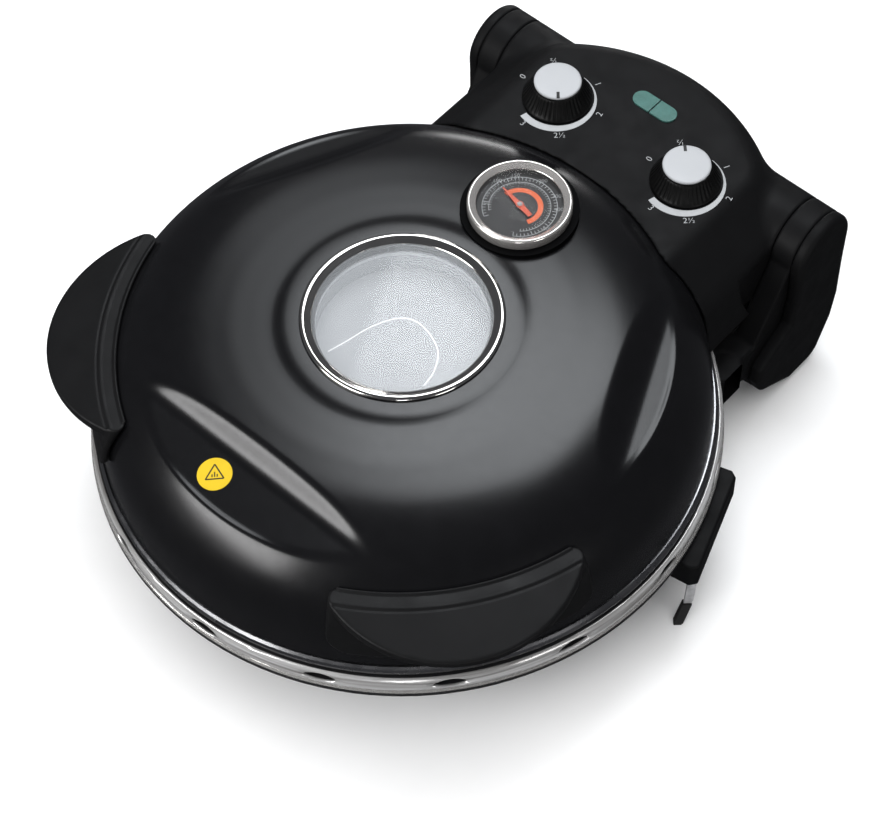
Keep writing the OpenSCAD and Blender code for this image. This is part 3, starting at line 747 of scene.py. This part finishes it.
def leg_bar(start, end, wide, thick):
    """A flat bar between two points, its broad side facing the front right."""
    verts = [np.array(p) + LEG_FACE * wide * u / 2 + LEG_BACK * thick * v / 2
             for p in (start, end) for u, v in ((-1, -1), (1, -1), (1, 1), (-1, 1))]
    faces = [(0, 1, 2, 3), (7, 6, 5, 4)]
    faces += [(i, i + 4, (i + 1) % 4 + 4, (i + 1) % 4) for i in range(4)]
    return verts, faces


def side_legs():
    """A forked strip hangs from each side block, bends forward and ends in a rubber tip."""
    fork, bend, toe = (169.8, 35.6, 31.0), (169.8, 34.4, 14.5), (169.8, 26.5, 1.2)
    strip = joined([leg_bar((168.0, 34.6, 46), (168.7, 35.0, 30.0), 1.8, 2.0),
                    leg_bar((171.6, 37.8, 46), (170.8, 36.2, 30.0), 2.0, 2.0),
                    leg_bar(fork, bend, 4.8, 2.0),
                    leg_bar(bend, (169.8, 31.0, 9.0), 4.4, 1.8)])
    tip = joined([leg_bar((169.8, 33.2, 13.0), toe, 5.0, 3.6),
                  leg_bar(toe, (169.8, 26.0, 0.2), 4.2, 3.0)])
    for name, shape, slot, mat, node in (
            ("side_leg_strips", strip, "steel", leg_mat, "support_legs"),
            ("side_leg_tips", tip, "rubber_black", M["rubber_black"], "leg_tips")):
        both = joined([shape, mirrored(*shape)])
        put(name, *both, "base", slot, mat, [node], smooth=False)


side_legs()


# ---------------------------------------------------------------- knobs
SKIRT_Z = cad_box("knob_right_skirt")[0].z
RIBS = 44
RIB_DEEP, RIB_SINK = 0.22, 0.15
# Degrees that the pointers face, as in the photo
POINTER_AT = {"left": -49, "right": 134}


def knob_ripple(r, z, ang):
    """Ribs on the sloping part of the skirt."""
    share = np.interp(z - SKIRT_Z, [1.5, 3.2, 10.3, 11.9], [0, 1, 1, 0])
    return share * (RIB_DEEP * np.cos(ang * RIBS) - RIB_SINK)


def knobs():
    x, y = KNOB
    # both as (r, height) above the skirt's foot, from the bottom to the top
    skirt = raised([(0, 0), (19.0, 0), (19.4, 0.3), (19.4, 1), (18.9, 1.5), (18.2, 2.9),
                    (17.3, 4.5), (16.4, 6.3), (15.5, 8.1), (14.7, 9.9), (14.2, 11.1),
                    (13.7, 11.7), (13.2, 11.95), (12.0, 12), (0, 12)], SKIRT_Z)
    cap = raised([(0, 11.9), (12.6, 11.9), (13.0, 12.2), (13.1, 12.9), (12.9, 13.5),
                  (12.4, 13.8), (11.6, 13.9), (6, 13.9), (0, 13.9)], SKIRT_Z)
    for side, sign in SIDES:
        at = (sign * x, y)
        put(f"knob_{side}_skirt_ribbed", *solid_of_revolution(skirt, RIBS * 8, at, knob_ripple),
            f"{side}_knob", "knob_black", M["knob_black"], [f"knob_{side}_skirt"])
        put(f"knob_{side}_cap_domed", *solid_of_revolution(cap, 96, at), f"{side}_knob",
            "knob_white", M["knob_white"], [f"knob_{side}_cap"])


knobs()


# ---------------------------------------------------------------- flat printing
def prism(outline, z, thick):
    """Verts and faces of a flat outline standing from z up by thick."""
    n = len(outline)
    verts = [(*p, z + h) for h in (0, thick) for p in outline]
    faces = [tuple(range(n - 1, -1, -1)), tuple(range(n, 2 * n))]
    faces += [(i, (i + 1) % n, n + (i + 1) % n, n + i) for i in range(n)]
    return verts, faces


def polar(centre, r, degrees):
    """The point at a distance and a direction from a centre."""
    turn = math.radians(degrees)
    return (centre[0] + r * math.cos(turn), centre[1] + r * math.sin(turn))


def ring_part(centre, r_in, r_out, start, end, steps):
    """Outlines that fill a flat ring between two directions."""
    turns = np.linspace(start, end, steps)
    inner = [polar(centre, r_in, t) for t in turns]
    outer = [polar(centre, r_out, t) for t in turns]
    return [[inner[i], outer[i], outer[i + 1], inner[i + 1]] for i in range(steps - 1)]


def bar(centre, angle, r_in, r_out, width):
    """The outline of a line that points away from a centre."""
    c, s = math.cos(math.radians(angle)), math.sin(math.radians(angle))
    w = width / 2
    return [(centre[0] + r * c - k * s, centre[1] + r * s + k * c)
            for r, k in ((r_in, -w), (r_out, -w), (r_out, w), (r_in, w))]


def print_piece(name, outlines, z, thick, body, slot, mat):
    shape = joined([prism(o, z, thick) for o in outlines])
    put(name, *shape, body, slot, mat, smooth=False)


def glyphs(items, z, thick):
    """Numbers as one mesh: items are (text, x, y, size, baseline angle)."""
    verts, faces = [], []
    for text, x, y, size, angle in items:
        data = bpy.data.curves.new("glyph", "FONT")
        data.body, data.size = text, size
        data.align_x, data.align_y = "CENTER", "CENTER"
        data.offset = -size * 0.008
        data.resolution_u = 4
        obj = bpy.data.objects.new("glyph", data)
        scene.collection.objects.link(obj)
        bpy.context.view_layer.update()
        mesh = obj.to_mesh()
        c, s = math.cos(math.radians(angle)), math.sin(math.radians(angle))
        base = len(verts)
        verts += [(x + v.co.x * c - v.co.y * s, y + v.co.x * s + v.co.y * c, z + thick)
                  for v in mesh.vertices]
        faces += [tuple(base + i for i in f.vertices) for f in mesh.polygons]
        obj.to_mesh_clear()
        bpy.data.objects.remove(obj)
        bpy.data.curves.remove(data)
    return verts, faces


NUMBER_SIZE, PRINT_THICK = 5.2, 0.06
# Each heat number: text, direction from the knob in degrees, distance
LABELS = (("0", 182, 24.6), ("½", 135, 27), ("1", 64, 24.8), ("2", 13, 26.0),
          ("2½", -47, 27.2), ("3", -95, 26.6))


def knob_printing():
    for side, sign in SIDES:
        centre = (sign * KNOB[0], KNOB[1])
        items = [(text, *polar(centre, r, a), NUMBER_SIZE, a + 90) for text, a, r in LABELS]
        put(f"heat_numbers_{side}", *glyphs(items, PANEL_Z, PRINT_THICK), "lid", "print_white",
            M["print_white"], smooth=False)
        print_piece(f"knob_{side}_pointer", [bar(centre, POINTER_AT[side], 8.6, 12.9, 1.7)],
                    CAP_Z - 0.4, 0.48, f"{side}_knob", "knob_black", ink_mat)


knob_printing()

GAUGE = (0, GAUGE_Y)
# Each number on the dial: text, direction in degrees, distance from the middle
DIAL_NUMBERS = (("50", -146, 17.6), ("100", 165, 20.9), ("150", 137, 21), ("200", 95, 21),
                ("300", 60, 20.6), ("400", 35, 20.6), ("500", -5, 20.6))


def dial_printing():
    # two arcs, each with its own ticks
    lines = ring_part(GAUGE, 19.6, 19.95, -60, 240, 90)
    lines += ring_part(GAUGE, 16.2, 16.5, -50, 230, 80)
    for i, a in enumerate(range(-60, 241, 6)):
        lines.append(bar(GAUGE, a, 18.0 if i % 5 else 17.2, 19.6, 0.35))
    for a in range(-48, 229, 6):
        lines.append(bar(GAUGE, a, 14.9, 16.2, 0.28))
    print_piece("gauge_scale_lines", lines, DIAL_Z, PRINT_THICK, "lid", "print_white",
                M["print_white"])
    numbers = [(text, *polar(GAUGE, r, a), 3.3, 43) for text, a, r in DIAL_NUMBERS]
    put("gauge_numbers", *glyphs(numbers, DIAL_Z, 0.09), "lid", "print_white", M["print_white"],
        smooth=False)
    print_piece("gauge_heat_band", ring_part(GAUGE, 9.6, 12.4, -28, 172, 60), DIAL_Z, 0.05,
                "lid", "needle", arc_mat)


def gauge_rim():
    """The rolled bezel, its glass and the needle's hub cap, as (r, height) above the dial."""
    bezel = raised([(24.6, -1.2), (GAUGE_R - 0.2, -1.2), (GAUGE_R, -0.8), (GAUGE_R, 3.8),
                    (GAUGE_R - 0.15, 4.5), (GAUGE_R - 0.5, 5.1), (GAUGE_R - 1.0, 5.35),
                    (GAUGE_R - 1.5, 5.3), (GAUGE_R - 1.9, 5), (25.2, 4.6), (24.3, 4.1),
                    (23.4, 3.4), (23.0, 3.1), (23.0, 2.7), (24.6, 2.5)], DIAL_Z)
    put("gauge_bezel_rolled", *lathe(bezel, 160, GAUGE), "lid", "chrome", gauge_chrome_mat,
        ["gauge_bezel"])
    glass = raised([(0, 3.15), (22.9, 3.15), (23.1, 3.3), (22.9, 3.5), (0, 3.7)], DIAL_Z)
    put("gauge_glass_pane", *solid_of_revolution(glass, 96, GAUGE), "lid", "window_glass",
        gauge_glass_mat, ["gauge_glass"])
    cap = raised([(0, 2.1), (1.3, 2.1), (1.5, 2.3), (1.3, 2.7), (0, 2.8)], DIAL_Z)
    put("gauge_hub_cap", *solid_of_revolution(cap, 32, GAUGE), "needle", "print_white",
        M["print_white"])


dial_printing()
gauge_rim()


def marker_printing():
    """A plain triangle on the yellow marker, lying on the crescent's floor."""
    turn, corner_r, line_wide = 43, 5.4, 0.7
    outlines = []
    for k in range(3):
        start = np.array(polar((0, 0), corner_r, turn + 90 + 120 * k))
        end = np.array(polar((0, 0), corner_r, turn + 210 + 120 * k))
        along = (end - start) / np.linalg.norm(end - start)
        w = np.array([-along[1], along[0]]) * line_wide / 2
        outlines.append([start - w, end - w, end + w, start + w])
    # three upright bars inside it
    c, s = math.cos(math.radians(turn)), math.sin(math.radians(turn))
    for k in (-1.3, 0.0, 1.3):
        quad = [(k - 0.3, -1.6), (k + 0.3, -1.6), (k + 0.3, 1.2 - abs(k)), (k - 0.3, 1.2 - abs(k))]
        outlines.append([(x * c - y * s, x * s + y * c) for x, y in quad])
    verts, faces = joined([prism(o, 0, PRINT_THICK) for o in outlines])
    # tilt it to the floor's slope and lift it onto the disc
    tilt, disc_top = math.atan(FLOOR_SLOPE), 139.8
    placed = [(MARKER.x + x, MARKER.y + y * math.cos(tilt) - z * math.sin(tilt),
               disc_top + y * math.sin(tilt) + z * math.cos(tilt)) for x, y, z in verts]
    put("marker_triangle", placed, faces, "lid", "marker_yellow", ink_mat, smooth=False)


marker_printing()


# ---------------------------------------------------------------- window and lamps
PANE_Z, PANE_R = 134.4, 46.2
LINE_R, LINE_SIDES = 0.45, 8
WALL_TOP = cad_box("window_retainer")[0].z - 0.05


def window_pane():
    """The pale pane that shows under the glass, and the wall round it, painted dark grey for the
    shade inside the window's recess.
    """
    floor = PANE_Z - 1.2
    pane = solid_of_revolution([(0, floor), (PANE_R - 0.4, floor), (PANE_R, floor + 0.3),
                                (PANE_R, PANE_Z - 0.3), (PANE_R - 0.4, PANE_Z),
                                (0, PANE_Z)], 128)
    put("window_inner_pane", *pane, "lid", "window_glass", pane_mat)
    wall = lathe([(PANE_R - 0.3, PANE_Z - 0.1), (PANE_R + 0.8, PANE_Z - 0.1),
                  (PANE_R + 0.8, WALL_TOP), (PANE_R - 0.1, WALL_TOP), (PANE_R - 0.4, 143.0),
                  (PANE_R - 0.1, 141.5), (PANE_R - 0.5, 140.0), (PANE_R - 0.2, 137.5)], 160)
    put("window_inner_wall", *wall, "lid", "window_glass", recess_wall_shade_mat)


def window_rim():
    # (r, height) above the dome's flat top
    rolled = raised([(46.5, -0.05), (48.35, -0.1), (48.35, -7.45), (49.75, -7.45), (49.8, 0),
                     (52.8, 0.05), (52.9, 0.5), (52.7, 1.2), (52.2, 1.8), (51.4, 2.15),
                     (50.5, 2.15), (49.7, 1.8), (48.9, 1.3), (47.4, 0.75), (46.6, 0.3)],
                    DOME[0][1])
    put("window_bezel_rolled", *lathe(rolled, 200), "lid", "chrome", M["chrome"],
        ["window_bezel"])


def window_line():
    """The thin curved line on the pane, as a wire swept along a curve."""
    line = curve_through([(-24, -31.5), (-21.5, -21.6), (-17.5, -4.5), (-10.8, 8), (-1.7, 12.6),
                          (10, 10.5), (19.5, 5), (25.5, -5), (27.6, -15)], 14)
    path = np.c_[line, np.full(len(line), PANE_Z + 0.1)]
    ring = LINE_SIDES
    verts, faces = [], []
    for i, p in enumerate(path):
        d = path[min(i + 1, len(path) - 1)] - path[max(i - 1, 0)]
        d /= np.linalg.norm(d)
        side = np.array([-d[1], d[0], 0])
        for k in range(ring):
            a = 2 * math.pi * k / ring
            verts.append(p + LINE_R * (side * math.cos(a) + np.array([0, 0, 1]) * math.sin(a)))
    for i in range(len(path) - 1):
        for k in range(ring):
            faces.append((i * ring + k, i * ring + (k + 1) % ring,
                          (i + 1) * ring + (k + 1) % ring, (i + 1) * ring + k))
    faces += [tuple(range(ring))[::-1], tuple((len(path) - 1) * ring + k for k in range(ring))]
    put("window_glint_wire", verts, faces, "lid", "window_glass", line_mat)


window_pane()
window_rim()
window_line()


# ---------------------------------------------------------------- stage
FLOOR_HALF = 4
AIM = (0, -0.038, 0.1)
WHITE, COOL_WHITE = (1, 1, 1), (0.93, 0.965, 1.0)
# Each soft box: name, place, size, radiance, colour. Places and sizes are in metres.
SOFT_BOXES = (("key", (-0.25, 0.62, 1.47), (0.80, 0.72), 6.0, COOL_WHITE),
              ("key_left", (-0.76, 0.56, 1.38), (0.45, 0.80), 1.8, COOL_WHITE),
              ("front", (-0.42, -1.38, 0.80), (1.05, 0.45), 11.0, WHITE),
              ("right_low", (1.55, -0.34, 0.22), (0.45, 0.22), 6.5, WHITE),
              ("right_front", (1.05, -1.25, 0.22), (0.25, 0.20), 8.0, WHITE),
              ("rear_low", (-0.79, 1.32, 0.20), (0.50, 0.14), 9.0, WHITE),
              ("rear_left", (-1.00, 0.91, 0.85), (0.80, 0.80), 0.15, WHITE))


def area_light(name, place, size, power, color=WHITE):
    data = bpy.data.lights.new(name, "AREA")
    data.shape = "RECTANGLE"
    data.size, data.size_y = size
    data.energy = power
    data.color = color
    obj = bpy.data.objects.new(name, data)
    scene.collection.objects.link(obj)
    obj.location = place
    obj.rotation_euler = (Vector(AIM) - Vector(place)).to_track_quat("-Z", "Y").to_euler()
    return obj


def stage():
    mesh = bpy.data.meshes.new("floor")
    h = FLOOR_HALF
    mesh.from_pydata([(-h, -h, 0), (h, -h, 0), (h, h, 0), (-h, h, 0)], [], [(0, 1, 2, 3)])
    floor = bpy.data.objects.new("floor", mesh)
    scene.collection.objects.link(floor)
    mesh.materials.append(material("floor_paper", (0.93, 0.93, 0.93), 0.9, mottle=0.01,
                                   specular=0.1))
    floor.visible_glossy = False
    world = bpy.data.worlds.new("world")
    world.use_nodes = True
    sky = world.node_tree.nodes["Background"]
    sky.inputs["Color"].default_value = (0.9, 0.92, 1.0, 1)
    sky.inputs["Strength"].default_value = 0.07
    scene.world = world
    scene.view_settings.view_transform = "Standard"
    for name, place, size, radiance, color in SOFT_BOXES:
        area_light(name, place, size, radiance * math.pi * size[0] * size[1], color)
    # a wide light from above that doesn't show in reflections
    fill = area_light("fill", (0.2, -0.2, 2.6), (3.5, 3.5), 100)
    fill.visible_glossy = False


stage()
